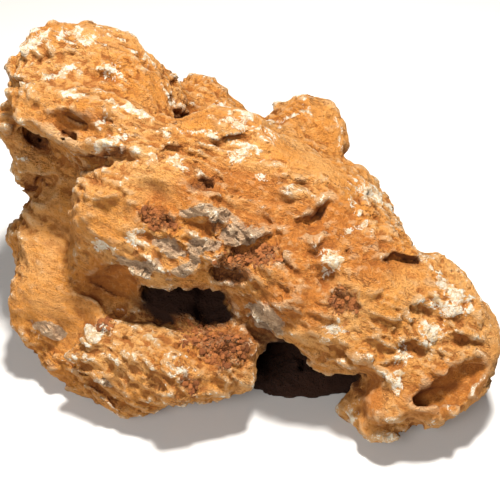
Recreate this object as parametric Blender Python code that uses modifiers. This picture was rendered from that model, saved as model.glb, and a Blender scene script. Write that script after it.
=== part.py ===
"""A limestone rock for a planted tank, one solid, in metres with +Z up.

The stone is a heap of blunt lobes that have grown into one mass. Water has hollowed it out, and
weather has worn scallops, dents and dipping ledges into its skin. Lobes and hollows start as
spheres, which are stretched, fused into one skin and cut. That skin then settles on the surface
that the same lobes, hollows and dents describe.

The face is laid out as the reference photograph shows it. A place on the face is a pixel of that
photograph, which is 500 wide and 500 high, and a distance towards the eye in millimetres.
"""

import bmesh
import bpy
import numpy as np
from mathutils import Matrix

MM = 0.001

# The eye that the face is laid out from: it looks along +Y and down on the stone.
VIEW_TILT = np.radians(40.0)
VIEW_MIDDLE = np.array([0.0, 0.0, 45.0])
EYE_DISTANCE = 360.0
PIXELS_PER_SLOPE = 500 * 75 / 36
PICTURE_MIDDLE = 250
RIGHT = np.array([1.0, 0.0, 0.0])
UP = np.array([0.0, np.sin(VIEW_TILT), np.cos(VIEW_TILT)])
TOWARDS = np.array([0.0, -np.cos(VIEW_TILT), np.sin(VIEW_TILT)])
EYE = VIEW_MIDDLE + TOWARDS * EYE_DISTANCE

# Lobes of the face: pixel across, pixel down, mm towards the eye, (long, across, deep) radii in mm,
# and the turn of the long radius in the picture in degrees.
FACE_LOBES = {
    "head": (82, 93, -9, (24, 18, 23), -25),
    "head_top": (124, 91, -10, (20, 12.5, 20), -40),
    "brow": (112, 136, 7, (35, 11, 15), -18),
    "chin": (30, 121, -12, (7, 12, 14), -60),
    "front_block": (163, 217, 5, (29, 22, 22), -20),
    "main_ridge": (272, 206, -4, (45, 22.5, 26), -33),
    "cave_roof": (205, 228, 6, (36, 16, 18), -20),
    "face_right": (335, 290, 6, (32, 25, 22), -34),
    "pillar": (112, 300, -9, (15, 13, 13), 30),
    "lip": (185, 362, 6, (23, 13, 17), 2),
    "lip_left": (122, 350, 2, (15, 13, 15), -20),
    "left_foot": (126, 384, 0, (12, 10, 12), -35),
    "left_lobe": (64, 264, -20, (17, 26, 20), 8),
    "left_skirt": (60, 304, -18, (15, 13, 15), -40),
    "left_under": (94, 357, -14, (12, 12, 14), -40),
    "left_neck": (70, 192, -18, (12, 20, 17), 0),
    "neck_tip": (36, 166, -14, (5, 4, 7), 20),
    "right_end": (427, 330, 0, (19, 24, 22), 10),
    "right_foot": (413, 390, 8, (24, 13, 16), 22),
    "shoulder": (346, 250, -16, (21, 13, 20), -50),
    "back_lump": (301, 140, -38, (14, 13.5, 17), 80),
    "back_peak": (204, 116, -36, (13, 12, 15), -50),
    "back_saddle": (258, 152, -34, (27, 13, 18), -8),
}

# Lobes that the face hides: centre and radii in mm, along X, Y and Z.
HIDDEN_LOBES = {
    "belly": ((-4, 12, 35), (57, 33, 27)),
    "arch_back": ((22, 6, 16), (34, 24, 18)),
    "rear": ((-8, 42, 32), (42, 25, 27)),
    "rear_foot": ((12, 54, 12), (20, 14, 15)),
    "arch_sill": ((19, -3, 0), (31, 23, 11)),
}

# Hollows of the face: pixel across, pixel down, mm that the centre lies under the face,
# (long, across, deep) radii in mm, turn in the picture and lean of the inner end up the face in
# degrees, and mm over which the rim is rounded.
HOLLOWS = {
    "cave": (180, 298, 6, (13.5, 7.5, 20), -2, 30, 1.2),
    "cave_right": (212, 306, 6, (7, 8.5, 15), 30, 20, 1.6),
    "cave_recess": (229, 272, 0.5, (6, 3.0, 4.5), -8, 20, 1.8),
    "arch": (291, 351, 1, (20, 7.5, 16), -18, 34, 1.6),
    "arch_left": (262, 353, 0, (8, 7, 14), 0, 34, 2.0),
    "foot_scoop": (454, 388, 0.4, (15, 5.5, 4.2), 25, 36, 1.4),
}

# Dents of the face: pixel across, pixel down, depth in mm, (long, up, down) reach in mm and turn in
# the picture. A dent is steep at its upper edge and runs out gently below, like weathered bedding.
DENTS = {
    "cave_slope": (212, 338, 4.5, (14, 7, 11), -20),
    "head_slot": (72, 118, 4.5, (9, 3.0, 9), 2),
    "brow_shade": (104, 156, 5.0, (15, 2.5, 9), -2),
    "neck_shade": (42, 176, 5.0, (8, 3, 9), 0),
    "chin_shade": (40, 143, 3.4, (16, 5, 7), -48),
    "left_bowl": (112, 276, 5.0, (12, 5, 14), 20),
    "left_wide": (60, 228, 3.5, (12, 9, 14), 10),
    "tongue": (160, 184, 3.6, (10, 2.2, 8), 4),
    "front_scoop": (106, 206, 3.4, (8, 3, 12), 24),
    "fork_hollow": (315, 214, 4.6, (9, 3, 8), 34),
    "crystal_shade": (250, 246, 4.5, (11, 2.5, 7), 22),
    "red_pocket": (158, 215, 2.6, (7, 2.5, 6), -18),
    "pocket": (206, 183, 3.0, (6, 2.0, 5), -10),
    "crest_slit": (228, 140, 2.4, (8, 2, 5), 20),
    "upper_slit": (172, 150, 2.2, (6, 2, 4), 10),
    "mid_slit": (322, 278, 3.0, (8, 2, 6), 4),
    "granular_pock": (344, 298, 1.8, (6, 3, 7), -10),
    "shoulder_scoop": (406, 265, 5.0, (8, 3, 10), 8),
    "end_groove": (466, 341, 3.6, (8, 2, 5), -8),
    "end_hole": (472, 361, 3.8, (5, 2, 5), 8),
    "foot_bowl": (362, 392, 4.5, (8, 10, 11), -10),
    "foot_under": (400, 421, 4.0, (11, 3, 8), 4),
    "eave_slot": (329, 343, 3.2, (9, 2.5, 6), -15),
}

# How the lobes run together, and how the skin is worn, in mm and degrees.
LOBE_SQUARENESS = 2.8
HOLLOW_SQUARENESS = 2.2
LOBE_BLEND = 8.0
SKIN_LEVEL = -1.8
SKIN_DEPTH = 9.0
DENT_DEPTH = 16.0
BEDDING_TURN = -24.0
BEDDING_STEP = 8.0

# The middle of the stone's footprint, in mm: it becomes the origin.
FOOTPRINT_MIDDLE = (-3.8, 12.2)

# How the solid is made: voxels and steps in mm.
HEAP_GROWTH = 1.5
FUSE_VOXEL = 3.0
EVEN_VOXEL = 2.0
SETTLE_STEPS = 8
LARGEST_STEP = 1.5
SLOPE_PROBE = 0.3
TRIANGLES = 9000
GROUND_SIZE = (300.0, 300.0, 40.0)


def seen(across, down, towards):
    """The point in mm at a pixel of the picture, so far towards the eye from its middle plane."""
    slope = RIGHT * (across - PICTURE_MIDDLE) + UP * (PICTURE_MIDDLE - down)
    return EYE + (slope / PIXELS_PER_SLOPE - TOWARDS) * (EYE_DISTANCE - towards)


def face_axes(turn, lean=0.0):
    """Rows: the long way in the picture, the way across it, and the way out of the face."""
    turn, lean = np.radians(turn), np.radians(lean)
    long = RIGHT * np.cos(turn) + UP * np.sin(turn)
    across = UP * np.cos(turn) - RIGHT * np.sin(turn)
    return np.array([
        long,
        across * np.cos(lean) + TOWARDS * np.sin(lean),
        TOWARDS * np.cos(lean) - across * np.sin(lean),
    ])


def lattice(cell, seed):
    """A fixed number from 0 to 1 for each point of a whole-number lattice."""
    x, y, z = cell.T
    mixed = (x * 374761393 + y * 668265263 + z * 1440670441 + seed * 1274126177) & 0xFFFFFFFF
    mixed = ((mixed ^ (mixed >> 13)) * 1274126177) & 0xFFFFFFFF
    mixed = ((mixed ^ (mixed >> 15)) * 2246822519) & 0xFFFFFFFF
    return ((mixed ^ (mixed >> 16)) & 0xFFFFFF) / float(0x1000000)


def swell(points, size, seed):
    """Smooth noise from -1 to 1: lattice numbers, eased between the corners of each cell."""
    cell = np.floor(points / size).astype(np.int64)
    part = points / size - cell
    part = part**3 * (part * (part * 6 - 15) + 10)
    total = np.zeros(len(points))
    for corner in np.ndindex(2, 2, 2):
        share = np.prod(np.where(corner, part, 1 - part), axis=1)
        total += share * lattice(cell + corner, seed)
    return total * 2 - 1


def drift(points, size, seed):
    """Smooth noise for each of the three axes."""
    return np.stack([swell(points, size, seed + axis) for axis in range(3)], axis=1)


def nearest_seed(points, size, seed):
    """Distance, in cells, to the nearest of the seeds scattered one to a cell."""
    cell = np.floor(points / size).astype(np.int64)
    part = points / size - cell
    nearest = np.full(len(points), 9.0)
    for step in np.ndindex(3, 3, 3):
        there = np.array(step) - 1
        gap = [(there[axis] + lattice(cell + there, seed + axis) - part[:, axis]) ** 2 for axis in range(3)]
        nearest = np.minimum(nearest, sum(gap))
    return np.sqrt(nearest)


def bowl(points, size, seed, reach):
    """Round bowls about the seeds: 1 at a seed, and 0 from its reach outwards."""
    return np.clip(1 - (nearest_seed(points, size, seed) / reach) ** 2, 0, 1)


def blended(first, second, width):
    """The nearer of two distances, rounded where they are within a width of each other."""
    near = np.maximum(width - np.abs(first - second), 0) / width
    return np.minimum(first, second) - near * near * width / 4


def lump(points, centre, radii, axes, squareness):
    """Distance to an egg that turns boxy as its squareness passes 2."""
    scaled = np.abs((points - centre) @ (axes.T / radii)) + 1e-9
    weight = scaled ** (squareness - 1)
    reach = (weight * scaled).sum(axis=1) ** (1 / squareness)
    slope = weight / reach[:, None] ** (squareness - 1) / radii
    return (reach - 1) / np.sqrt((slope**2).sum(axis=1))


def warped(points):
    """The points moved by two scales of noise, so that no lobe is a true egg."""
    return points + 3.0 * drift(points, 26.0, 11) + 1.2 * drift(points, 11.0, 21)


def ragged(points):
    """The points moved by finer noise, so that no hollow or dent has an even rim."""
    return points + 2.0 * drift(points, 9.0, 91)


def lobe_shapes():
    """(centre, radii, axes) of every lobe, in mm."""
    shapes = []
    for across, down, towards, radii, turn in FACE_LOBES.values():
        shapes.append((seen(across, down, towards), np.array(radii, float), face_axes(turn)))
    for centre, radii in HIDDEN_LOBES.values():
        shapes.append((np.array(centre, float), np.array(radii, float), np.eye(3)))
    return shapes


def mass(points, lobes):
    """Distance to the lobes grown into one."""
    total = np.full(len(points), 1e3)
    for centre, radii, axes in lobes:
        total = blended(total, lump(points, centre, radii, axes, LOBE_SQUARENESS), LOBE_BLEND)
    return total


def ledge(height):
    """A step that repeats with the height: a quick rise and a long fall, from 0 to 1."""
    part = height - np.floor(height)
    rise = np.clip(part / 0.3, 0, 1)
    fall = np.clip((1 - part) / 0.7, 0, 1)
    return np.minimum(rise * rise * (3 - 2 * rise), fall)


def wear(points):
    """Depth that the weather took: wide bowls, broken ledges and crumbling, in mm."""
    bedded = points @ face_axes(BEDDING_TURN).T
    smooth = np.clip(0.45 + 1.1 * swell(points, 30.0, 61), 0, 1)
    rough = np.clip(0.5 + 1.2 * swell(points, 20.0, 65), 0.15, 1)
    flattened = bedded / np.array([1.5, 0.8, 1.0]) + 3.5 * drift(points, 13.0, 51)
    wide = bowl(flattened, 17.0, 31, 0.8)
    layer = bedded[:, 1] / BEDDING_STEP + 0.9 * swell(points, 22.0, 71) + 0.45 * swell(points, 9.0, 72)
    stepped = np.clip(1.6 * swell(points, 17.0, 81), 0, 1)
    crumbled = 1.1 * swell(points, 7.0, 75)
    return 3.4 * smooth * wide + (0.6 + crumbled) * rough + 1.8 * ledge(layer) * stepped


def face_point(across, down, lobes):
    """Where the line of sight through a pixel meets the mass."""
    along = seen(across, down, 0) - EYE
    along /= np.linalg.norm(along)
    reach = EYE_DISTANCE - 110
    for _ in range(60):
        reach += 0.8 * (mass(warped((EYE + along * reach)[None]), lobes)[0] + 1.0)
    return EYE + along * reach


def hollow_shapes(lobes):
    """(centre, radii, axes, rim) of every hollow, in mm."""
    shapes = []
    for across, down, sunk, radii, turn, lean, rim in HOLLOWS.values():
        axes = face_axes(turn, lean)
        centre = face_point(across, down, lobes) - axes[2] * sunk
        shapes.append((centre, np.array(radii, float), axes, rim))
    return shapes


def dent_shapes(lobes):
    """(centre, depth, reach, axes) of every dent, in mm."""
    shapes = []
    for across, down, depth, reach, turn in DENTS.values():
        shapes.append((face_point(across, down, lobes), depth, reach, face_axes(turn)))
    return shapes


def dented(points, dents):
    """Depth of the dents, in mm: full at the middle and eased to nothing at each reach."""
    total = np.zeros(len(points))
    for centre, depth, (long, up, down), axes in dents:
        along, across, out = ((points - centre) @ axes.T).T
        across = np.where(across > 0, across / up, across / down)
        far = (along / long) ** 2 + across**2 + (out / DENT_DEPTH) ** 4
        total += depth * np.clip(1 - far, 0, 1) ** 1.5
    return total


def stone(points, lobes, hollows, dents):
    """Distance to the finished stone, in mm: below 0 inside it."""
    bent = warped(points)
    total = mass(bent, lobes)
    skin = np.abs(total) < SKIN_DEPTH
    total[skin] += wear(bent[skin]) + SKIN_LEVEL
    uneven = ragged(points)
    total += dented(uneven, dents)
    for centre, radii, axes, rim in hollows:
        total = -blended(-total, lump(uneven, centre, radii, axes, HOLLOW_SQUARENESS), rim)
    return total


def egg(centre, radii, axes, growth):
    """An icosphere stretched to an egg and set in place, as a mesh in metres."""
    shape = bmesh.new()
    stretch = Matrix.Diagonal((*(radii + growth) * MM, 1.0))
    place = Matrix.Translation(centre * MM) @ Matrix(axes.T).to_4x4() @ stretch
    bmesh.ops.create_icosphere(shape, subdivisions=4, radius=1.0, matrix=place)
    data = bpy.data.meshes.new("egg")
    shape.to_mesh(data)
    shape.free()
    return data


def placed(name, data, collection, middle):
    """An object in the collection, held by the stone's middle."""
    made = bpy.data.objects.new(name, data)
    made.parent = middle
    collection.objects.link(made)
    return made


def cutter(name, data, collection, middle):
    """An object that only cuts: drawn as wire and left out of renders."""
    made = placed(name, data, collection, middle)
    made.hide_render = True
    made.display_type = "WIRE"
    return made


def cut_with(subject, tool):
    """Takes the tool's shape out of the subject."""
    cut = subject.modifiers.new(tool.name, "BOOLEAN")
    cut.operation = "DIFFERENCE"
    cut.object = tool


def apply_modifiers(subject):
    """Keeps the mesh that the modifiers give, and drops the modifiers."""
    graph = bpy.context.evaluated_depsgraph_get()
    fresh = bpy.data.meshes.new_from_object(subject.evaluated_get(graph))
    subject.modifiers.clear()
    subject.data = fresh


def fuse(subject, voxel):
    """Makes one skin of even faces from all that the object holds."""
    skin = subject.modifiers.new("fuse", "REMESH")
    skin.mode = "VOXEL"
    skin.voxel_size = voxel * MM
    apply_modifiers(subject)


def neighbour_means(points, edges):
    """The mean of each point's neighbours along the mesh's edges."""
    total = np.zeros_like(points)
    count = np.zeros(len(points))
    for here, there in (edges.T, edges.T[::-1]):
        np.add.at(total, here, points[there])
        np.add.at(count, here, 1)
    return total / count[:, None]


def settle(subject, distance):
    """Moves each point straight to where the distance is 0, and evens the points out on the way."""
    data = subject.data
    points = np.empty(len(data.vertices) * 3)
    data.vertices.foreach_get("co", points)
    points = points.reshape(-1, 3) / MM
    edges = np.empty(len(data.edges) * 2, np.int32)
    data.edges.foreach_get("vertices", edges)
    edges = edges.reshape(-1, 2)
    for step in range(SETTLE_STEPS):
        here = distance(points)
        nudges = np.eye(3) * SLOPE_PROBE
        slope = np.stack([distance(points + nudge) - here for nudge in nudges], axis=1) / SLOPE_PROBE
        steep = np.maximum((slope**2).sum(axis=1), 0.3)
        points -= np.clip(here / steep, -LARGEST_STEP, LARGEST_STEP)[:, None] * slope
        evening = 0.35 if step < SETTLE_STEPS - 2 else 0.1
        points += evening * (neighbour_means(points, edges) - points)
    data.vertices.foreach_set("co", (points * MM).ravel())
    data.update()


def limestone():
    """Ochre clay over pale limestone, dull and dry."""
    material = bpy.data.materials.new("limestone")
    material.use_nodes = True
    shader = material.node_tree.nodes["Principled BSDF"]
    shader.inputs["Base Color"].default_value = (0.62, 0.31, 0.11, 1)
    shader.inputs["Roughness"].default_value = 0.9
    shader.inputs["Metallic"].default_value = 0.0
    return material


def build():
    """The stone: its lobes fused, hollowed, settled, thinned and cut flat where it rests."""
    for old in list(bpy.data.objects):
        bpy.data.objects.remove(old)
    stones = bpy.data.collections.new("limestone rock")
    cutters = bpy.data.collections.new("cutters")
    bpy.context.scene.collection.children.link(stones)
    bpy.context.scene.collection.children.link(cutters)
    middle = bpy.data.objects.new("middle", None)
    middle.location = (-FOOTPRINT_MIDDLE[0] * MM, -FOOTPRINT_MIDDLE[1] * MM, 0)
    stones.objects.link(middle)

    lobes = lobe_shapes()
    hollows = hollow_shapes(lobes)
    dents = dent_shapes(lobes)

    heap = bmesh.new()
    for centre, radii, axes in lobes:
        heap.from_mesh(egg(centre, radii, axes, HEAP_GROWTH))
    rock = placed("limestone_rock", bpy.data.meshes.new("limestone_rock"), stones, middle)
    heap.to_mesh(rock.data)
    heap.free()
    fuse(rock, FUSE_VOXEL)

    for name, (centre, radii, axes, _) in zip(HOLLOWS, hollows):
        cut_with(rock, cutter(name, egg(centre, radii, axes, 0.0), cutters, middle))
    fuse(rock, EVEN_VOXEL)
    settle(rock, lambda points: stone(points, lobes, hollows, dents))

    thin = rock.modifiers.new("thin", "DECIMATE")
    thin.ratio = TRIANGLES / (2 * len(rock.data.polygons))

    block = bmesh.new()
    width, length, height = (size * MM for size in GROUND_SIZE)
    bmesh.ops.create_cube(block, size=1.0, matrix=Matrix.Diagonal((width, length, height, 1.0)))
    bmesh.ops.translate(block, vec=(0, 0, -height / 2), verts=block.verts)
    ground = bpy.data.meshes.new("ground")
    block.to_mesh(ground)
    block.free()
    cut_with(rock, cutter("ground", ground, cutters, middle))

    rock.data.materials.append(limestone())


build()
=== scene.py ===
"""A limestone rock for a planted tank, dressed over its solid: worn skin, bare patches, clay crumbs."""

import bpy
import numpy as np
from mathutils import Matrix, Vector


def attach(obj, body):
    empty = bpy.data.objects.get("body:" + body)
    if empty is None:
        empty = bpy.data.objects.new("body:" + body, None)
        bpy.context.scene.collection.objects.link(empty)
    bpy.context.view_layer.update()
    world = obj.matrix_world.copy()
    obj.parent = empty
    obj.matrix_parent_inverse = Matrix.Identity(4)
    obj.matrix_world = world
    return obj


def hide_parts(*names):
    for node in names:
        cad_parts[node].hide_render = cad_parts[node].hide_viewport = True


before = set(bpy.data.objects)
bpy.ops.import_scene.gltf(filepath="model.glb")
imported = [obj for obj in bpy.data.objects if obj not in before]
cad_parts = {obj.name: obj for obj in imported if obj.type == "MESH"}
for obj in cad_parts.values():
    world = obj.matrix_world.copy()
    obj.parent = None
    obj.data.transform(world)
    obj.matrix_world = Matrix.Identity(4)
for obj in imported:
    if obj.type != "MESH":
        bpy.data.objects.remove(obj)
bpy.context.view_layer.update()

# The stone. One piece of pale limestone, grown from many blunt lobes. Water has dissolved hollows and
# scallops into it, its beds weather back as dipping ledges, and ochre clay has dried over the skin.
# Its face is laid out by pixels of the reference picture, 500 wide and high, and by sizes in mm.
MM = 0.001
VIEW_TILT = np.radians(40.0)
VIEW_MIDDLE = np.array([0.0, 0.0, 45.0])
EYE_DISTANCE = 360.0
PICTURE_SIDE = 500
LENS, SENSOR = 75, 36
PIXELS_PER_SLOPE = PICTURE_SIDE * LENS / SENSOR
PICTURE_MIDDLE = PICTURE_SIDE / 2
RIGHT = np.array([1.0, 0.0, 0.0])
UP = np.array([0.0, np.sin(VIEW_TILT), np.cos(VIEW_TILT)])
TOWARDS = np.array([0.0, -np.cos(VIEW_TILT), np.sin(VIEW_TILT)])
EYE = VIEW_MIDDLE + TOWARDS * EYE_DISTANCE
FOOTPRINT_MIDDLE = np.array([-3.8, 12.2, 0.0])

# Lobes: pixel across, pixel down, mm towards the eye, (long, across, deep) radii, turn of the long one.
FACE_LOBES = {
    "head": (82, 93, -9, (24, 18, 23), -25),
    "head_top": (124, 91, -10, (20, 12.5, 20), -40),
    "brow": (112, 136, 7, (35, 11, 15), -18),
    "chin": (30, 121, -12, (7, 12, 14), -60),
    "front_block": (163, 217, 5, (29, 22, 22), -20),
    "main_ridge": (272, 206, -4, (45, 22.5, 26), -33),
    "cave_roof": (205, 228, 6, (36, 16, 18), -20),
    "face_right": (335, 290, 6, (32, 25, 22), -34),
    "pillar": (112, 300, -9, (15, 13, 13), 30),
    "lip": (185, 362, 6, (23, 13, 17), 2),
    "lip_left": (122, 350, 2, (15, 13, 15), -20),
    "left_foot": (126, 384, 0, (12, 10, 12), -35),
    "left_lobe": (64, 264, -20, (17, 26, 20), 8),
    "left_skirt": (60, 304, -18, (15, 13, 15), -40),
    "left_under": (94, 357, -14, (12, 12, 14), -40),
    "left_neck": (70, 192, -18, (12, 20, 17), 0),
    "neck_tip": (36, 166, -14, (5, 4, 7), 20),
    "right_end": (427, 330, 0, (19, 24, 22), 10),
    "right_foot": (413, 390, 8, (24, 13, 16), 22),
    "shoulder": (346, 250, -16, (21, 13, 20), -50),
    "back_lump": (301, 140, -38, (14, 13.5, 17), 80),
    "back_peak": (204, 116, -36, (13, 12, 15), -50),
    "back_saddle": (258, 152, -34, (27, 13, 18), -8),
}
# Lobes behind the face, in mm: middle and radii along x, y and z.
HIDDEN_LOBES = {
    "belly": ((-4, 12, 35), (57, 33, 27)),
    "arch_back": ((22, 6, 16), (34, 24, 18)),
    "rear": ((-8, 42, 32), (42, 25, 27)),
    "rear_foot": ((12, 54, 12), (20, 14, 15)),
    "arch_sill": ((19, -3, 0), (31, 23, 11)),
}
# Hollows: pixel across, pixel down, mm under the face, (long, across, deep) radii, turn, lean and the
# roundness of the rim.
HOLLOWS = {
    "cave": (180, 298, 6, (13.5, 7.5, 20), -2, 30, 1.2),
    "cave_right": (212, 306, 6, (7, 8.5, 15), 30, 20, 1.6),
    "cave_recess": (229, 272, 0.5, (6, 3.0, 4.5), -8, 20, 1.8),
    "arch": (291, 351, 1, (20, 7.5, 16), -18, 34, 1.6),
    "arch_left": (262, 353, 0, (8, 7, 14), 0, 34, 2.0),
    "foot_scoop": (454, 388, 0.4, (15, 5.5, 4.2), 25, 36, 1.4),
}
# Dents: pixel across, pixel down, depth, (long, up, down) reach, turn. Each is steep at its upper edge.
DENTS = {
    "cave_slope": (212, 338, 4.5, (14, 7, 11), -20),
    "head_slot": (72, 118, 4.5, (9, 3.0, 9), 2),
    "brow_shade": (104, 156, 5.0, (15, 2.5, 9), -2),
    "neck_shade": (42, 176, 5.0, (8, 3, 9), 0),
    "chin_shade": (40, 143, 3.4, (16, 5, 7), -48),
    "left_bowl": (112, 276, 5.0, (12, 5, 14), 20),
    "left_wide": (60, 228, 3.5, (12, 9, 14), 10),
    "tongue": (158, 189, 2.8, (11, 5, 7), 4),
    "front_scoop": (106, 206, 3.4, (8, 3, 12), 24),
    "fork_hollow": (315, 214, 4.6, (9, 3, 8), 34),
    "crystal_shade": (250, 246, 4.5, (11, 2.5, 7), 22),
    "red_pocket": (158, 215, 2.6, (7, 2.5, 6), -18),
    "pocket": (206, 183, 3.0, (6, 2.0, 5), -10),
    "crest_slit": (228, 140, 2.4, (8, 2, 5), 20),
    "upper_slit": (172, 150, 2.2, (6, 2, 4), 10),
    "mid_slit": (322, 278, 3.0, (8, 2, 6), 4),
    "granular_pock": (344, 298, 1.8, (6, 3, 7), -10),
    "shoulder_scoop": (406, 265, 5.0, (8, 3, 10), 8),
    "end_groove": (466, 341, 3.6, (8, 2, 5), -8),
    "end_hole": (472, 361, 3.8, (5, 2, 5), 8),
    "foot_bowl": (362, 392, 4.5, (8, 10, 11), -10),
    "foot_under": (400, 421, 4.0, (11, 3, 8), 4),
    "eave_slot": (329, 343, 3.2, (9, 2.5, 6), -15),
}
# A lobe is nearly a box at a high squareness, and an egg at 2. Beyond LUMP_REACH of its longest radius,
# plus FAR, it isn't worked out. The wear is only worked out within SKIN_DEPTH of the surface.
LOBE_SQUARENESS = 2.8
HOLLOW_SQUARENESS = 2.2
LOBE_BLEND = 8.0
LUMP_REACH = 1.4
FAR = 12.0
SKIN_LEVEL = -1.8
SKIN_DEPTH = 9.0
DENT_DEPTH = 16.0
BOWL_DEPTH, LEDGE_DEPTH = 3.4, 2.2
BEDDING_TURN = -24.0
BEDDING_STEP = 8.0
# A spot of the face is looked for from this far before the middle, and lies this far inside the mass.
LOOK_FROM, LOOK_STEPS, LOOK_SHARE = 110.0, 60, 0.8
SPOT_SUNK = 1.0
# Primes that make the noise: one for each axis of its lattice, and two that mix the cell's number.
LATTICE = np.array([374761393, 668265263, 1440670441], np.uint32)
MIXER, SECOND_MIXER = 1274126177, 2246822519
TINY = 1e-9


def seen(across, down, towards):
    """The eye, plus the sight line through a pixel, scaled to reach so far before the middle plane."""
    slope = RIGHT * (across - PICTURE_MIDDLE) + UP * (PICTURE_MIDDLE - down)
    return EYE + (slope / PIXELS_PER_SLOPE - TOWARDS) * (EYE_DISTANCE - towards)


def face_axes(turn, lean=0.0):
    """Rows: RIGHT and UP turned in the picture, and the way out, tipped by the lean."""
    turn, lean = np.radians(turn), np.radians(lean)
    long = RIGHT * np.cos(turn) + UP * np.sin(turn)
    across = UP * np.cos(turn) - RIGHT * np.sin(turn)
    out = TOWARDS * np.cos(lean) - across * np.sin(lean)
    return np.array([long, across * np.cos(lean) + TOWARDS * np.sin(lean), out])


def cell_codes(points, size):
    """Each point's place in its cell of a lattice, and one number for the cell: 32-bit products, added."""
    cell = np.floor(points / size)
    codes = (cell.astype(np.int64).astype(np.uint32) * LATTICE).sum(axis=1, dtype=np.uint32)
    return points / size - cell, codes


def lattice(codes, step, seed):
    """A fixed number from 0 to 1 for the lattice point a step on: its code multiplied, xored, shifted."""
    offset = int(np.dot(step, LATTICE.astype(np.int64))) + seed * MIXER
    mixed = codes + np.uint32(offset & 0xFFFFFFFF)
    mixed = (mixed ^ (mixed >> np.uint32(13))) * np.uint32(MIXER)
    mixed = (mixed ^ (mixed >> np.uint32(15))) * np.uint32(SECOND_MIXER)
    return ((mixed ^ (mixed >> np.uint32(16))) & np.uint32(0xFFFFFF)) / 0x1000000


def swell(points, size, seed):
    """Noise from -1 to 1: lattice numbers, mixed along each axis in turn by 6t^5 - 15t^4 + 10t^3."""
    part, codes = cell_codes(points, size)
    part = (part * part * part * (part * (part * 6 - 15) + 10)).T
    values = [lattice(codes, corner, seed) for corner in np.ndindex(2, 2, 2)]
    for share in part:
        half = len(values) // 2
        values = [low + (high - low) * share for low, high in zip(values[:half], values[half:])]
    return values[0] * 2 - 1


def drift(points, size, seed):
    """Three swells, one for each axis."""
    return np.stack([swell(points, size, seed + axis) for axis in range(3)], axis=1)


def nearest_seed(points, size, seed):
    """Distance in cells to the nearest of the seeds, of which each cell has one."""
    part, codes = cell_codes(points, size)
    nearest = np.full(len(points), np.inf)
    for step in np.ndindex(3, 3, 3):
        there = np.array(step) - 1
        gap = [(there[axis] + lattice(codes, there, seed + axis) - part[:, axis]) ** 2 for axis in range(3)]
        nearest = np.minimum(nearest, sum(gap))
    return np.sqrt(nearest)


def bowl(points, size, seed, reach):
    """1 - (distance / reach)^2 about each seed, and 0 beyond the reach."""
    return np.clip(1 - (nearest_seed(points, size, seed) / reach) ** 2, 0, 1)


def blended(first, second, width):
    """The smaller one, less (width - difference)^2 / 4 width where the two are that near."""
    near = np.maximum(width - np.abs(first - second), 0) / width
    return np.minimum(first, second) - near * near * width / 4


def lump(points, centre, radii, axes, squareness):
    """Distance to an egg: the squareness-norm of the scaled point, less 1, over its slope."""
    scaled = np.abs((points - centre) @ (axes.T / radii)) + TINY
    weight = scaled ** (squareness - 1)
    reach = (weight * scaled).sum(axis=1) ** (1 / squareness)
    slope = weight / reach[:, None] ** (squareness - 1) / radii
    return (reach - 1) / np.sqrt((slope**2).sum(axis=1))


def within(points, centre, reach):
    """True for the points whose distance to the centre is below the reach."""
    return ((points - centre) ** 2).sum(axis=1) < reach**2


def warped(points):
    """The points plus 3 mm of drift in 26 mm waves and 1.2 mm in 11 mm waves."""
    return points + 3.0 * drift(points, 26.0, 11) + 1.2 * drift(points, 11.0, 21)


def mass(points):
    """The blend of the distances to all the lobes."""
    total = np.full(len(points), FAR)
    for centre, radii, axes in lobes:
        near = within(points, centre, radii.max() * LUMP_REACH + FAR)
        reach = lump(points[near], centre, radii, axes, LOBE_SQUARENESS)
        total[near] = blended(total[near], reach, LOBE_BLEND)
    return total


def ledge(height):
    """Rises over the first 3 tenths of each whole step of the height, and falls over the rest."""
    part = height - np.floor(height)
    rise = np.clip(part / 0.3, 0, 1)
    return np.minimum(rise * rise * (3 - 2 * rise), np.clip((1 - part) / 0.7, 0, 1))


def wear(points):
    """Depth lost: wide and small bowls, plus broken ledges, plus crumbling, each in its own patches. The
    bowls and swells take a size in mm and a seed each, and what stands before them is a depth in mm."""
    bedded = points @ face_axes(BEDDING_TURN).T
    smooth = np.clip(0.45 + 1.1 * swell(points, 30.0, 61), 0, 1)
    rough = np.clip(0.5 + 1.2 * swell(points, 20.0, 65), 0.15, 1)
    flattened = bedded / np.array([1.5, 0.8, 1.0]) + 3.5 * drift(points, 13.0, 51)
    wide = bowl(flattened, 17.0, 31, 0.8)
    small = bowl(flattened + 50.0, 7.0, 41, 0.75)
    pits = bowl(bedded + 20.0, 9.0, 45, 0.25)
    streaks = swell(bedded / np.array([3.2, 1.0, 3.0]) + 0.5 * drift(points, 8.0, 55), 2.1, 58)
    layer = bedded[:, 1] / BEDDING_STEP + 0.9 * swell(points, 22.0, 71) + 0.45 * swell(points, 9.0, 72)
    stepped = np.clip(1.6 * swell(points, 17.0, 81), 0, 1)
    crumbled = swell(points, 7.0, 75) + 0.6 * swell(points, 3.6, 76) + 0.55 * streaks
    fine = bowl(flattened + 80.0, 3.4, 47, 0.9)
    chipped = 1.5 * small + 0.7 * fine + crumbled + 1.6 * pits
    return BOWL_DEPTH * smooth * wide + chipped * rough + LEDGE_DEPTH * ledge(layer) * stepped


def face_points(spots):
    """Steps along each spot's sight line by a share of the distance to the mass until it is met."""
    along = np.array([seen(across, down, 0) - EYE for across, down, *_ in spots])
    along /= np.linalg.norm(along, axis=1, keepdims=True)
    reach = np.full(len(along), EYE_DISTANCE - LOOK_FROM)
    for _ in range(LOOK_STEPS):
        reach += LOOK_SHARE * (mass(warped(EYE + along * reach[:, None])) + SPOT_SUNK)
    return EYE + along * reach[:, None]


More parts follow.
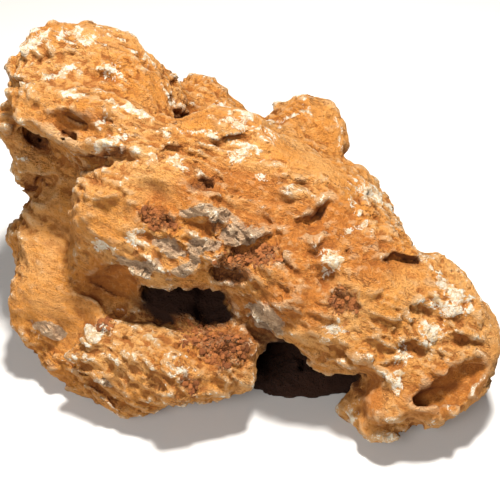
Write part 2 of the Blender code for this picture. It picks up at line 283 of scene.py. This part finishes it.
def dented(points):
    """Sum of depth (1 - far)^1.5 over the dents. far adds the squares of the places along and across, in
    reaches, and the fourth power of the place outwards."""
    total = np.zeros(len(points))
    for centre, depth, (long, up, down), axes in dents:
        near = within(points, centre, max(long, down, DENT_DEPTH) * 1.5)
        along, across, out = ((points[near] - centre) @ axes.T).T
        across = np.where(across > 0, across / up, across / down)
        far = (along / long) ** 2 + across**2 + (out / DENT_DEPTH) ** 4
        total[near] += depth * np.clip(1 - far, 0, 1) ** 1.5
    return total


def stone(points):
    """Distance to the stone: the mass, worn, dented and hollowed, and cut off at the ground."""
    bent = warped(points)
    total = mass(bent)
    skin = np.abs(total) < SKIN_DEPTH
    total[skin] += wear(bent[skin]) + SKIN_LEVEL
    ragged = points + 2.0 * drift(points, 9.0, 91) + 0.7 * drift(points, 3.5, 95)
    total += dented(ragged)
    for centre, radii, axes, rim in hollows:
        near = within(ragged, centre, radii.max() * LUMP_REACH + FAR)
        reach = lump(ragged[near], centre, radii, axes, HOLLOW_SQUARENESS)
        total[near] = -blended(-total[near], reach, rim)
    return np.maximum(total, -points[:, 2])


lobes = [(seen(*spot), np.array(radii, float), face_axes(turn))
         for *spot, radii, turn in FACE_LOBES.values()]
lobes += [(np.array(spot, float), np.array(radii, float), np.eye(3))
          for spot, radii in HIDDEN_LOBES.values()]
hollows = []
for spot, (*_, sunk, radii, turn, lean, rim) in zip(face_points(HOLLOWS.values()), HOLLOWS.values()):
    axes = face_axes(turn, lean)
    hollows.append((spot - axes[2] * sunk, np.array(radii, float), axes, rim))
dents = [(spot, depth, reach, face_axes(turn))
         for spot, (*_, depth, reach, turn) in zip(face_points(DENTS.values()), DENTS.values())]

# The skin's mesh, in mm. The grid that it is drawn from leaves room round the stone.
GRID_STEP = 1.04
GRID_LOW, GRID_HIGH = np.array([-98.0, -62.0, -4.0]), np.array([92.0, 88.0, 118.0])
COARSEST_STEP = 4
CLOSE_STEPS = 1.5
NOT_NEAR = 9.0
EVENINGS = (0.5, 0.15)
FLATTEST = 0.3


def sampled(low, counts, step):
    """Distances on a grid. A grid of twice the step is sampled first, and halved only near the surface:
    elsewhere its points stay at NOT_NEAR, above 0 for out and below for in."""
    rows = np.stack(np.meshgrid(*[np.arange(n) for n in counts], indexing="ij"), axis=-1)
    if step > COARSEST_STEP:
        return stone(low + rows.reshape(-1, 3) * step).reshape(counts)
    wide = sampled(low, counts // 2 + 2, step * 2)
    close = np.abs(wide) < step * 2 * CLOSE_STEPS
    near = np.zeros_like(close)
    for shift in np.ndindex(2, 2, 2):
        part = close[shift[0]:, shift[1]:, shift[2]:]
        near[:part.shape[0], :part.shape[1], :part.shape[2]] |= part
    for axis in range(3):
        near = near.repeat(2, axis)
        wide = wide.repeat(2, axis)
    here = tuple(slice(0, n) for n in counts)
    values = np.where(wide[here] < 0, -NOT_NEAR, NOT_NEAR)
    near = near[here]
    values[near] = stone(low + rows[near] * step)
    return values


def skinned(values, low, step):
    """Surface nets: a point in each grid cell that the surface crosses, at the mean of its crossings
    with the cell's edges, and a face across each grid edge that the surface crosses."""
    inside = values < 0
    corners = np.array(list(np.ndindex(2, 2, 2)))
    size = np.array(values.shape) - 1
    count = sum(inside[i:i + size[0], j:j + size[1], k:k + size[2]].astype(np.int8)
                for i, j, k in corners)
    cells = np.argwhere((count > 0) & (count < 8))
    at = [values[tuple((cells + corner).T)] for corner in corners]
    place, crossings = np.zeros((len(cells), 3)), np.zeros(len(cells))
    for a, b in np.ndindex(8, 8):
        if a < b and np.abs(corners[a] - corners[b]).sum() == 1:
            crossed = (at[a] < 0) != (at[b] < 0)
            share = np.where(crossed, at[a] / np.where(crossed, at[a] - at[b], 1), 0)
            place += crossed[:, None] * (corners[a] + share[:, None] * (corners[b] - corners[a]))
            crossings += crossed
    points = low + (cells + place / crossings[:, None]) * step
    number = np.full(values.shape, -1)
    number[tuple(cells.T)] = np.arange(len(cells))
    faces = []
    for axis in range(3):
        ahead, side, above = np.roll(np.eye(3, dtype=int), axis, axis=0)
        first = inside[tuple(slice(0, n - ahead[i]) for i, n in enumerate(inside.shape))]
        second = inside[tuple(slice(ahead[i], n) for i, n in enumerate(inside.shape))]
        edges = np.argwhere(first != second)
        ring = [number[tuple((edges - offset).T)] for offset in (side + above, above, 0 * side, side)]
        quads = np.stack(ring, axis=1)
        outward = first[tuple(edges.T)]
        quads[~outward] = quads[~outward][:, ::-1]
        faces.append(quads)
    return points, np.concatenate(faces)


def slopes(points, here, probe=0.25):
    """Forward differences of the distance along the three axes."""
    return np.stack([stone(points + nudge) - here for nudge in np.eye(3) * probe], axis=1) / probe


def evened(points, faces, amount):
    """Moves each point by a share of the way to the mean of its faces' middles."""
    middles = points[faces].mean(axis=1)
    total, count = np.zeros_like(points), np.bincount(faces.ravel(), minlength=len(points))
    for axis in range(3):
        total[:, axis] = np.bincount(faces.ravel(), np.repeat(middles[:, axis], 4), len(points))
    return points + amount * (total / count[:, None] - points)


def enclosed(points, out, reach):
    """1 less the free share of the way out: the distance to the stone at the reach, over the reach."""
    return 1 - stone(points + out * reach) / reach


counts = np.ceil((GRID_HIGH - GRID_LOW) / GRID_STEP).astype(int)
points, faces = skinned(sampled(GRID_LOW, counts, GRID_STEP), GRID_LOW, GRID_STEP)
# The points are spread evenly, and then slide down the distance's slope until they lie on the stone.
for amount in EVENINGS:
    points = evened(points, faces, amount)
    here = stone(points)
    slope = slopes(points, here)
    slope /= np.maximum((slope**2).sum(axis=1, keepdims=True), FLATTEST)
    for _ in range(2):
        points = points - np.clip(here, -1, 1)[:, None] * slope
        here = stone(points)
out = slope / np.linalg.norm(slope, axis=1, keepdims=True)

# What lies where on the skin. Each spot is a pixel across, a pixel down, its mm along and across, and
# its turn. BARE is pale stone that the clay has worn off.
BARE = [
    (31, 43, 6, 4.0, 30), (79, 38, 8, 2.6, -10), (112, 74, 5, 3.0, -35), (74, 97, 3.0, 2.0, -20),
    (150, 75, 9, 1.6, -48), (172, 100, 7, 1.6, -48), (286, 118, 7, 1.8, 30), (338, 140, 1.6, 8, 0),
    (200, 132, 8, 1.6, -14), (250, 150, 8, 1.6, -24), (385, 205, 8, 1.8, -45), (415, 238, 8, 1.8, -50),
    (478, 296, 1.6, 9, 20), (350, 230, 8, 1.4, 30), (60, 74, 5, 1.6, 20), (130, 112, 7, 1.4, -20),
    (104, 121, 2.2, 2.6, 0), (110, 140, 6, 2.0, 4), (143, 61, 5, 1.8, -20), (169, 97, 2.4, 2.6, -40),
    (190, 108, 3, 1.6, 0), (219, 107, 3, 2, -30), (239, 124, 7, 3.0, -20), (238, 157, 4, 2.4, 20),
    (177, 163, 5, 1.6, -8), (258, 178, 3.4, 1.8, -10), (271, 137, 4.2, 2.6, -20), (305, 110, 3.6, 3, 0),
    (336, 124, 1.6, 1.8, 0), (358, 190, 11, 3.2, -12), (354, 205, 2.4, 5, 20), (330, 259, 4.4, 4.8, 20),
    (335, 327, 4, 2.6, 0), (447, 290, 2.0, 10, 30), (449, 306, 7, 3.0, 10), (433, 330, 4.5, 2.6, 0),
    (398, 356, 3.6, 3.6, 0), (400, 385, 1.4, 6, 0), (462, 394, 12, 1.8, 40), (352, 413, 1.6, 7, -12),
    (120, 316, 3, 1.8, 10), (95, 332, 4, 3, 10), (187, 369, 3, 3.6, 0), (222, 402, 9, 2.0, 4),
    (36, 334, 2.4, 1.6, 0), (115, 410, 2.4, 2, 0), (135, 237, 2.6, 2, 40), (103, 246, 6, 1.4, -4),
]
# CRYSTAL is broken grey calcite, and POCKETS hold red-brown crumbly clay.
CRYSTAL = [(240, 234, 7, 3.4, 18), (201, 247, 6, 3.6, 10), (210, 214, 10, 2.6, -8), (167, 246, 5, 2.4, -20),
           (267, 318, 7.5, 5.2, -40), (254, 309, 3, 2.4, 0), (105, 384, 4, 2.0, -35),
           (50, 330, 6, 2.6, -35), (143, 266, 10, 2.6, -16), (187, 266, 6, 2.2, 20)]
POCKETS = [(158, 219, 7, 4, -14), (252, 256, 11, 3.6, 10), (180, 300, 15, 8, 0), (212, 308, 8, 10, 0),
           (230, 272, 7, 4, -10), (222, 340, 12, 8, -35), (344, 300, 4.6, 4.6, 0), (215, 224, 3.4, 2.4, 0),
           (112, 150, 5, 1.8, 4), (204, 185, 5, 2.2, 0), (190, 385, 4, 4, 40), (280, 368, 19, 12, 0)]
# DEEP is orange clay in the sheltered dips, and SMOOTH is clay that water has licked flat.
DEEP = [(288, 240, 21, 13, -30), (325, 226, 13, 10, 0), (226, 335, 12, 13, -30), (300, 300, 13, 10, 0),
        (448, 388, 17, 8, 25), (112, 282, 12, 8, 0), (368, 258, 12, 9, 0), (158, 214, 9, 5, 0),
        (74, 120, 11, 4, 0), (250, 186, 16, 5, -20), (205, 190, 10, 6, 0), (368, 395, 7, 10, 0)]
SMOOTH = [(50, 235, 12, 24, 8), (62, 310, 13, 12, -40), (108, 284, 11, 11, 20), (158, 190, 10, 6, 4),
          (110, 215, 9, 8, -10), (408, 276, 7, 7, 0), (455, 390, 15, 6, 25), (74, 130, 10, 5, 0),
          (300, 160, 10, 12, 80), (362, 395, 6, 11, 0), (180, 300, 13, 7, 0), (150, 92, 4, 9, -40)]
# CAVERNS and the arch are painted dark brown from a little way in, as painted shade for the shade inside
# them.
CAVERNS = [(180, 302, 14, 8, -2), (214, 308, 5, 9, 30)]
ARCH_SPOT = (292, 370, 24, 12, -16)
CAVERN_DEEP = 34.0
PATCH_DEEP = 9.0
SHADE_FADE = 5
HOLLOW_REACH, SHUT_IN_REACH = 6, 12


def patches(spots, points, deep=PATCH_DEEP):
    """Highest of 1.5 - distance over the spots, held from 0 to 1. The distance to a spot is measured in
    its own radii, on ragged points."""
    ragged = points + 1.8 * drift(points, 5.0, 201) + 0.8 * drift(points, 2.2, 205)
    best = np.zeros(len(points))
    for middle, (*_, long, short, turn) in zip(face_points(spots), spots):
        place = ((ragged - middle) @ face_axes(turn).T) / np.array([long, short, deep])
        best = np.maximum(best, 1.5 - np.sqrt((place**2).sum(axis=1)))
    return np.clip(best, 0, 1)


bare, crystal, pocket, smooth, deep = (
    patches(spots, points) for spots in (BARE, CRYSTAL, POCKETS, SMOOTH, DEEP))
hollow = np.clip(enclosed(points, out, HOLLOW_REACH), 0, 1)
shut_in = np.clip(0.3 + 2.5 * enclosed(points, out, SHUT_IN_REACH), 0, 1)
# Painted shade for the cave, where it is shut in, and for the arch, back from its front edge.
behind = [np.clip((middle - points) @ TOWARDS / SHADE_FADE - 0.4, 0, 1) for middle in face_points(CAVERNS)]
cave_shades = [way_in * patches([spot], points, CAVERN_DEEP) for way_in, spot in zip(behind, CAVERNS)]
arch_shade = np.clip(points[:, 1] / SHADE_FADE + 6.4, 0, 1) * patches([ARCH_SPOT], points, CAVERN_DEEP)
painted_cave_shade = np.maximum(shut_in * np.max(cave_shades, axis=0), arch_shade)


def facets(points, size, seed):
    """Chips: the nearest seed's own height, plus the step from it times its own slope. Each seed's height
    and slope are lattice numbers from -1 to 1."""
    part, codes = cell_codes(points, size)
    nearest, height = np.full(len(points), np.inf), np.zeros(len(points))
    for step in np.ndindex(3, 3, 3):
        there = np.array(step) - 1
        gap = np.stack([part[:, axis] - there[axis] - lattice(codes, there, seed + axis)
                        for axis in range(3)])
        far = (gap**2).sum(axis=0)
        lean = sum(gap[axis] * (2 * lattice(codes, there, seed + 3 + axis) - 1) for axis in range(3))
        height = np.where(far < nearest, 2 * lattice(codes, there, seed + 6) - 1 + 2 * lean, height)
        nearest = np.minimum(far, nearest)
    return height


# The fine relief, in mm along the way out: chips, thin beds that are strongest at the left, pits,
# creases and sharp-edged scallops. It is thin where the clay is smooth, and fades out at the ground.
THIN_BED = 4.2
RELIEF, CRYSTAL_CHIPS, POCKET_CHIPS = 0.8, 1.0, 0.7
GROUND_FADE = 2.0

bedded = points @ face_axes(BEDDING_TURN).T + 2.4 * drift(points, 9.0, 401)
thin_layer = bedded[:, 1] / THIN_BED + 0.5 * swell(points, 14.0, 411)
broken = np.clip(0.5 + 1.4 * swell(bedded / np.array([1.8, 1.0, 1.4]), 9.0, 421), 0, 1)
crust = np.clip(0.9 + swell(points, 16.0, 431), 0.45, 1.25) * (1 - 0.8 * np.clip(smooth * 1.6, 0, 1))
layered = np.clip((30 - points[:, 0]) / 40, 0.25, 1)
flat = bedded / np.array([1.7, 0.9, 1.2])
lifted = 0.35 * facets(flat, 6.5, 441) + 0.30 * facets(flat, 3.0, 451)
lifted -= 1.2 * ledge(thin_layer) * broken * layered
lifted -= 1.3 * bowl(bedded, 8.0, 461, 0.22) + 1.5 * np.abs(swell(flat, 7.0, 471))
lifted += 1.7 * nearest_seed(flat + 1.2 * drift(points, 5.0, 481), 5.0, 485) ** 2
lifted += 1.1 * nearest_seed(flat + 0.8 * drift(points, 3.0, 491), 2.8, 495) ** 2
lifted += 0.35 * swell(points, 2.2, 477)
lifted = RELIEF * lifted * crust + CRYSTAL_CHIPS * crystal * facets(flat, 4.2, 321)
lifted += POCKET_CHIPS * pocket * facets(points, 2.4, 331)
points = points + out * (lifted * np.clip(points[:, 2] / GROUND_FADE, 0, 1))[:, None]
points[:, 2] = np.maximum(points[:, 2], 0)


def standing_out(rounds):
    """How far each point lies out from its own place on the skin when that is evened so many times."""
    mean = points
    for _ in range(rounds):
        mean = evened(mean, faces, 0.7)
    return ((points - mean) * out).sum(axis=1)


def placed(name, points, faces, attributes):
    """An object whose mesh has the points, which are in mm, moved to the stone's own origin."""
    mesh = bpy.data.meshes.new(name)
    mesh.from_pydata((points - FOOTPRINT_MIDDLE) * MM, [], faces.tolist())
    mesh.polygons.foreach_set("use_smooth", np.ones(len(faces), bool))
    for label, values in attributes.items():
        mesh.attributes.new(label, "FLOAT", "POINT").data.foreach_set("value", values.astype(np.float32))
    made = bpy.data.objects.new(name, mesh)
    bpy.context.scene.collection.objects.link(made)
    return made


rock = placed("limestone_skin", points, faces, {
    "bare": bare, "crystal": crystal, "pocket": pocket, "hollow": hollow, "smooth": smooth, "deep": deep,
    "painted_cave_shade": painted_cave_shade, "layered": layered, "fine_relief": standing_out(3), "wide_relief": standing_out(14)})


class Wire:
    """A socket whose operators add Math nodes: a + b, a - b and a * b, either way round, and abs(a)."""

    def __init__(self, tree, socket):
        self.tree, self.socket = tree, socket

    def fill(self, made, values):
        """Sets or links a node's sockets: _0 is the first, and Base_Color the one named Base Color."""
        for name, value in values.items():
            socket = made.inputs[int(name[1:]) if name[1:].isdigit() else name.replace("_", " ")]
            if isinstance(value, Wire):
                self.tree.links.new(value.socket, socket)
            else:
                socket.default_value = value

    def node(self, kind, settings=None, out=0, **values):
        """A node of the kind, with its settings, then its sockets' values or links. Gives an output."""
        made = self.tree.nodes.new(kind)
        for name, setting in (settings or {}).items():
            setattr(made, name, setting)
        self.fill(made, values)
        return Wire(self.tree, made.outputs[out])

    def math(self, operation, first, second=0.0):
        """A Math node of two values or links."""
        return self.node("ShaderNodeMath", {"operation": operation}, _0=first, _1=second)

    def __add__(self, other):
        return self.math("ADD", self, other)

    def __radd__(self, other):
        return self.math("ADD", other, self)

    def __sub__(self, other):
        return self.math("SUBTRACT", self, other)

    def __rsub__(self, other):
        return self.math("SUBTRACT", other, self)

    def __mul__(self, other):
        return self.math("MULTIPLY", self, other)

    def __rmul__(self, other):
        return self.math("MULTIPLY", other, self)

    def __abs__(self):
        return self.math("ABSOLUTE", self)

    def between(self, low, high):
        """0 at low, 1 at high, eased."""
        eased = {"interpolation_type": "SMOOTHSTEP"}
        return self.node("ShaderNodeMapRange", eased, _0=self, _1=low, _2=high)

    def noise(self, size, detail=3.0, rough=0.55, bend=0.0):
        """Cloudy noise about 0.5, with waves of so many mm. self is a place in mm."""
        return self.node("ShaderNodeTexNoise", _0=self, Scale=1.0 / size, Detail=detail, Roughness=rough,
                         Distortion=bend)

    def cells(self, size, feature="F1"):
        """Distance to the nearest seed, or to the nearest cell edge, in cells of so many mm."""
        return self.node("ShaderNodeTexVoronoi", {"feature": feature}, _0=self, Scale=1.0 / size)

    def mix(self, first, second):
        """A colour between two, by self."""
        return self.node("ShaderNodeMix", {"data_type": "RGBA"}, 2, _0=self, _6=first, _7=second)

    def attribute(self, name):
        """The mesh's own attribute of that name."""
        return self.node("ShaderNodeAttribute", {"attribute_name": name}, 2)


def tree_of(name):
    """A new material, its Principled shader, and a Wire on its Object coordinates in mm."""
    material = bpy.data.materials.new(name)
    material.use_nodes = True
    tree = material.node_tree
    shader = tree.nodes["Principled BSDF"]
    start = Wire(tree, tree.nodes.new("ShaderNodeTexCoord").outputs["Object"])
    place = start.node("ShaderNodeVectorMath", {"operation": "SCALE"}, _0=start, Scale=1 / MM)
    return material, shader, place


# Its finish. The clay is ochre, deeper in the dips and paler where it is rubbed, and chalky stone shows on
# the ridges, with fine white veins.
# Thin seams along the beds, pinholes, creases, hollows, the pocket cracks, the cave and the arch are
# darkened as painted shade.
CLAY_LIGHT = (0.78, 0.39, 0.12, 1)
CLAY = (0.70, 0.28, 0.050, 1)
CLAY_ORANGE = (0.55, 0.18, 0.027, 1)
# Deeper orange clay, also used as painted shade in creases, hollows and pinholes.
CLAY_DEEP_AND_SHADE = (0.38, 0.115, 0.020, 1)
# Painted shade colour for the thin seams along the beds.
CREASE_SHADE_BROWN = (0.24, 0.070, 0.015, 1)
# Painted shade colour for the deepest hollows and the pocket cracks.
CLAY_SHADE_DARK = (0.11, 0.032, 0.010, 1)
# Painted shade colour for the cave and the arch.
CAVE_SHADE_BROWN = (0.042, 0.015, 0.007, 1)
POCKET_DARK = (0.20, 0.062, 0.018, 1)
POCKET_LIGHT = (0.40, 0.14, 0.034, 1)
CHALK = (0.95, 0.86, 0.70, 1)
CHALK_WARM = (0.76, 0.54, 0.31, 1)
CRYSTAL_GREY = (0.42, 0.30, 0.195, 1)
CRYSTAL_PALE = (0.68, 0.51, 0.34, 1)
DULL, CRYSTAL_GLOSS = 0.95, 0.35
SPECULAR = 0.2
BUMP_HEIGHT = 0.0016

material, shader, place = tree_of("limestone")
long_way, across_way, out_way = (
    place.node("ShaderNodeVectorMath", {"operation": "DOT_PRODUCT"}, 1, _0=place, _1=tuple(axis))
    for axis in face_axes(BEDDING_TURN))
bedding = place.node("ShaderNodeCombineXYZ", _0=long_way * 0.28, _1=across_way, _2=out_way * 0.6)
broad = place.noise(22.0, 4.0)
veins = place.noise(4.5, 3.0, 0.6, 0.8) - 0.5
web = 1 - abs(veins).between(0.0, 0.05)
middling = place.noise(5.0, 5.0, 0.6)
flecks = place.noise(1.9, 4.0, 0.65, 0.6)
grain = place.noise(0.8, 4.0, 0.7)
speck = place.noise(0.35, 2.0, 0.7)
streaks = (bedding.noise(1.6, 4.0, 0.6) - 0.5) * place.attribute("layered") + 0.5
fine, wide = place.attribute("fine_relief"), place.attribute("wide_relief")
sunk, even = place.attribute("hollow"), place.attribute("smooth")
worn = fine.between(0.04, 0.30) * 0.4 + wide.between(0.2, 1.2) * 0.6

# How much of each there is, from 0 to 1.
is_bare = place.attribute("bare") * 0.80 + worn * 0.66 + (broad - 0.5) + (streaks - 0.5) * 0.5
is_bare = is_bare + (flecks - 0.5) + (grain - 0.5) * 0.8 + (web - 0.3) * 0.26 - even * 0.3
is_bare = (is_bare - place.attribute("deep") * 0.20).between(0.52, 0.80)
is_crystal = (place.attribute("crystal") + (middling - 0.5) * 0.9 + (flecks - 0.5) * 0.8).between(0.42, 0.62)
is_pocket = (place.attribute("pocket") + (middling - 0.5) * 0.9 + (grain - 0.5) * 0.5).between(0.30, 0.85)
pinholes = (1 - place.cells(3.2).between(0.10, 0.24)) * middling.between(0.48, 0.56) * (1 - even * 0.5)
seam_line = bedding.noise(3.4, 4.0, 0.65, 0.5) - 0.5
seams = (1 - abs(seam_line).between(0.004, 0.022)) * (1 - even * 0.8)
seams = seams * place.noise(9.0, 3.0).between(0.46, 0.60)
cracks = 1 - place.cells(2.6, "DISTANCE_TO_EDGE").between(0.0, 0.16)

# Its colour, laid on coat by coat.
clay = (broad + (streaks - 0.5) * 0.6).between(0.35, 0.65).mix(CLAY, CLAY_LIGHT)
clay = (place.attribute("deep").between(0.1, 0.9) * 0.88).mix(clay, CLAY_ORANGE)
clay = (streaks.between(0.48, 0.66) * 0.45).mix(clay, CLAY_DEEP_AND_SHADE)
clay = (flecks.between(0.50, 0.68) * 0.5).mix(clay, CLAY_LIGHT)
clay = (grain.between(0.52, 0.66) * 0.6).mix(clay, CLAY_DEEP_AND_SHADE)
clay = (worn * 0.5).mix(clay, CHALK_WARM)
# Painted shade: the pinholes, which are also pressed into the bump, go deeper.
clay = (pinholes * 0.5).mix(clay, CLAY_DEEP_AND_SHADE)
# Painted shade along the thin seams of the beds, which are also cut into the bump.
clay = (seams * 0.75).mix(clay, CREASE_SHADE_BROWN)
# Painted shade: creases and wide dips in the relief go deeper.
clay = ((0.0 - fine).between(0.02, 0.26) * 0.7).mix(clay, CLAY_DEEP_AND_SHADE)
clay = ((0.0 - wide).between(0.3, 1.6) * 0.6).mix(clay, CLAY_DEEP_AND_SHADE)
# Painted shade: points shut in within 6 mm go deeper, and the most shut in go dark.
clay = (sunk.between(0.40, 0.95) * 0.8).mix(clay, CLAY_DEEP_AND_SHADE)
clay = (sunk.between(0.80, 1.0) * 0.70).mix(clay, CLAY_SHADE_DARK)
pocket_clay = grain.between(0.40, 0.60).mix(POCKET_DARK, POCKET_LIGHT)
# Painted shade in the cracks between the clay granules, which are also cut into the bump.
pocket_clay = (cracks * 0.6).mix(pocket_clay, CLAY_SHADE_DARK)
colour = (is_pocket * 0.85).mix(clay, pocket_clay)
crystal_grain = bedding.noise(1.0, 3.0, 0.7) + (flecks - 0.5) * 0.5
crystal_colour = crystal_grain.between(0.42, 0.64).mix(CRYSTAL_GREY, CRYSTAL_PALE)
colour = (is_crystal * 0.75).mix(colour, crystal_colour)
chalk = flecks.between(0.42, 0.6).mix(CHALK_WARM, CHALK)
colour = (is_bare * (1 - is_pocket * 0.7) * (1 - sunk.between(0.45, 0.8))).mix(colour, chalk)
# Painted shade: the cave and the arch go dark brown.
colour = place.attribute("painted_cave_shade").between(0.05, 0.6).mix(colour, CAVE_SHADE_BROWN)

crumbs, chips = place.cells(1.5), place.cells(2.6)
height = middling * 0.4 + flecks * 0.8 + streaks * 0.8 + chips * chips * 0.9
height = height * (1 - even * 0.5) + grain * 1.8 + speck - pinholes * 1.2 - seams * 0.9
height = height - (crumbs * 0.6 + cracks * 0.8) * is_pocket
relief = place.node("ShaderNodeBump", Strength=1.0, Distance=BUMP_HEIGHT, Height=height)
place.fill(shader, {"Base_Color": colour, "Roughness": DULL - is_crystal * CRYSTAL_GLOSS,
                    "Specular_IOR_Level": SPECULAR, "Normal": relief})
rock.data.materials.append(material)
rock.data.polygons.foreach_set("use_smooth", crystal[faces].mean(axis=1) < 0.5)

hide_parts("limestone_rock")
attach(rock, "root")

# Loose crumbs. Angular bits of red-brown clay, 0.7 to 3 mm across, dried fast in the pockets and on the
# slope below the cave. Each is a 20-sided lump pushed out of true, flattened, and about half sunk.
CRUMBS = 800
SMALLEST, LARGEST = 0.35, 1.5
CRUMB_DEEP = 8.0
SUNK, FLATTENED = 0.1, 0.6
CRUMB_DARK = (0.11, 0.034, 0.011, 1)
CRUMB_LIGHT = (0.25, 0.086, 0.024, 1)
CRUMB_DUST = (0.17, 0.055, 0.016, 1)
CRUMB_BUMP = 0.0004
CRUMB_SPOTS = [(200, 333, 9, 5, -18), (158, 219, 6, 2.6, -14), (252, 257, 9, 3.2, 10),
               (344, 300, 3, 3, 0), (106, 324, 3, 2, 20), (190, 388, 2, 3, 40), (226, 348, 6, 6, -40)]

# An icosahedron: its 12 corners stand on three golden rectangles, about 1 from the middle.
GOLD = (1 + 5**0.5) / 2
CORNER_REACH = 1.9
corners = np.array([
    [-1, GOLD, 0], [1, GOLD, 0], [-1, -GOLD, 0], [1, -GOLD, 0], [0, -1, GOLD], [0, 1, GOLD],
    [0, -1, -GOLD], [0, 1, -GOLD], [GOLD, 0, -1], [GOLD, 0, 1], [-GOLD, 0, -1], [-GOLD, 0, 1],
]) / CORNER_REACH
sides = np.array([
    [0, 11, 5], [0, 5, 1], [0, 1, 7], [0, 7, 10], [0, 10, 11], [1, 5, 9], [5, 11, 4], [11, 10, 2],
    [10, 7, 6], [7, 1, 8], [3, 9, 4], [3, 4, 2], [3, 2, 6], [3, 6, 8], [3, 8, 9], [4, 9, 5],
    [2, 4, 11], [6, 2, 10], [8, 6, 7], [9, 8, 1],
])

# Crumbs lie on what faces the eye in their spots, and clear of the ground.
seeds = np.random.default_rng(5)
strewn = patches(CRUMB_SPOTS, points, CRUMB_DEEP) * np.clip(out @ TOWARDS + 0.4, 0, 1)
strewn = strewn * (points[:, 2] > LARGEST)
chosen = seeds.choice(len(points), CRUMBS, replace=False, p=strewn**2 / (strewn**2).sum())
radius = SMALLEST + (LARGEST - SMALLEST) * seeds.random(CRUMBS) ** 2.5
middle = points[chosen] - out[chosen] * radius[:, None] * SUNK + seeds.normal(0, 0.3, (CRUMBS, 3))
lumps = corners * seeds.uniform(0.55, 1.15, (CRUMBS, 12, 1)) * seeds.uniform(0.7, 1.3, (CRUMBS, 1, 3))
rise = (lumps * out[chosen][:, None]).sum(axis=2, keepdims=True) * out[chosen][:, None]
lumps = middle[:, None] + (lumps - FLATTENED * rise) * radius[:, None, None]
crumb_faces = (sides + len(corners) * np.arange(CRUMBS)[:, None, None]).reshape(-1, 3)
tone = np.repeat(seeds.random(CRUMBS), len(corners))
crumbs_made = placed("clay_crumbs", lumps.reshape(-1, 3), crumb_faces, {"tone": tone})

material, shader, place = tree_of("clay_crumbs")
grain = place.noise(0.7, 3.0, 0.7)
colour = place.attribute("tone").between(0.1, 0.9).mix(CRUMB_DARK, CRUMB_LIGHT)
colour = (grain.between(0.40, 0.60) * 0.7).mix(colour, CRUMB_DUST)
relief = place.node("ShaderNodeBump", Strength=0.8, Distance=CRUMB_BUMP, Height=grain)
place.fill(shader, {"Base_Color": colour, "Roughness": DULL, "Specular_IOR_Level": SPECULAR,
                    "Normal": relief})
crumbs_made.data.materials.append(material)
crumbs_made.data.polygons.foreach_set("use_smooth", np.zeros(len(crumb_faces), bool))
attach(crumbs_made, "root")

# The floor, the light and the camera. None of it is part of the object. A lamp is its place, the side of
# its square in metres, its watts and its colour.
FLOOR_COLOUR = (0.52, 0.51, 0.50, 1)
FLOOR_REACH = 3
SKY_COLOUR, SKY_STRENGTH = (1.0, 0.98, 0.96, 1), 0.10
LIGHTS = {
    "overhead": ((0.06, 0.01, 0.62), 0.08, 9.9, (1.0, 0.97, 0.92)),
    "front": ((-0.22, -0.60, 0.48), 0.35, 5.1, (1.0, 0.97, 0.94)),
}
LIGHT_TARGET = np.array([0.0, 0.0, 0.04])


def aimed(made, at, target):
    """Puts a thing at a place, its -Z turned to the target."""
    made.location = at
    made.rotation_euler = (Vector(target) - Vector(at)).to_track_quat("-Z", "Y").to_euler()
    bpy.context.scene.collection.objects.link(made)


floor_mesh = bpy.data.meshes.new("floor")
floor_corners = [(x * FLOOR_REACH, y * FLOOR_REACH, 0) for x, y in ((-1, -1), (1, -1), (1, 1), (-1, 1))]
floor_mesh.from_pydata(floor_corners, [], [(0, 1, 2, 3)])
floor = bpy.data.objects.new("floor", floor_mesh)
bpy.context.scene.collection.objects.link(floor)
floor_material = bpy.data.materials.new("floor")
floor_material.use_nodes = True
floor_shader = floor_material.node_tree.nodes["Principled BSDF"]
floor_shader.inputs["Base Color"].default_value = FLOOR_COLOUR
floor_shader.inputs["Roughness"].default_value = 0.8
floor_mesh.materials.append(floor_material)

for name, (at, size, power, colour) in LIGHTS.items():
    lamp = bpy.data.lights.new(name, "AREA")
    lamp.size, lamp.energy, lamp.color = size, power, colour
    aimed(bpy.data.objects.new(name, lamp), at, LIGHT_TARGET)

world = bpy.data.worlds.new("studio")
world.use_nodes = True
sky = world.node_tree.nodes["Background"]
sky.inputs["Color"].default_value = SKY_COLOUR
sky.inputs["Strength"].default_value = SKY_STRENGTH
bpy.context.scene.world = world
bpy.context.scene.view_settings.view_transform = "Standard"

camera = bpy.data.cameras.new("camera")
camera.lens, camera.sensor_width, camera.clip_start = LENS, SENSOR, 0.01
held = bpy.data.objects.new("camera", camera)
aimed(held, (EYE - FOOTPRINT_MIDDLE) * MM, (VIEW_MIDDLE - FOOTPRINT_MIDDLE) * MM)
bpy.context.scene.camera = held
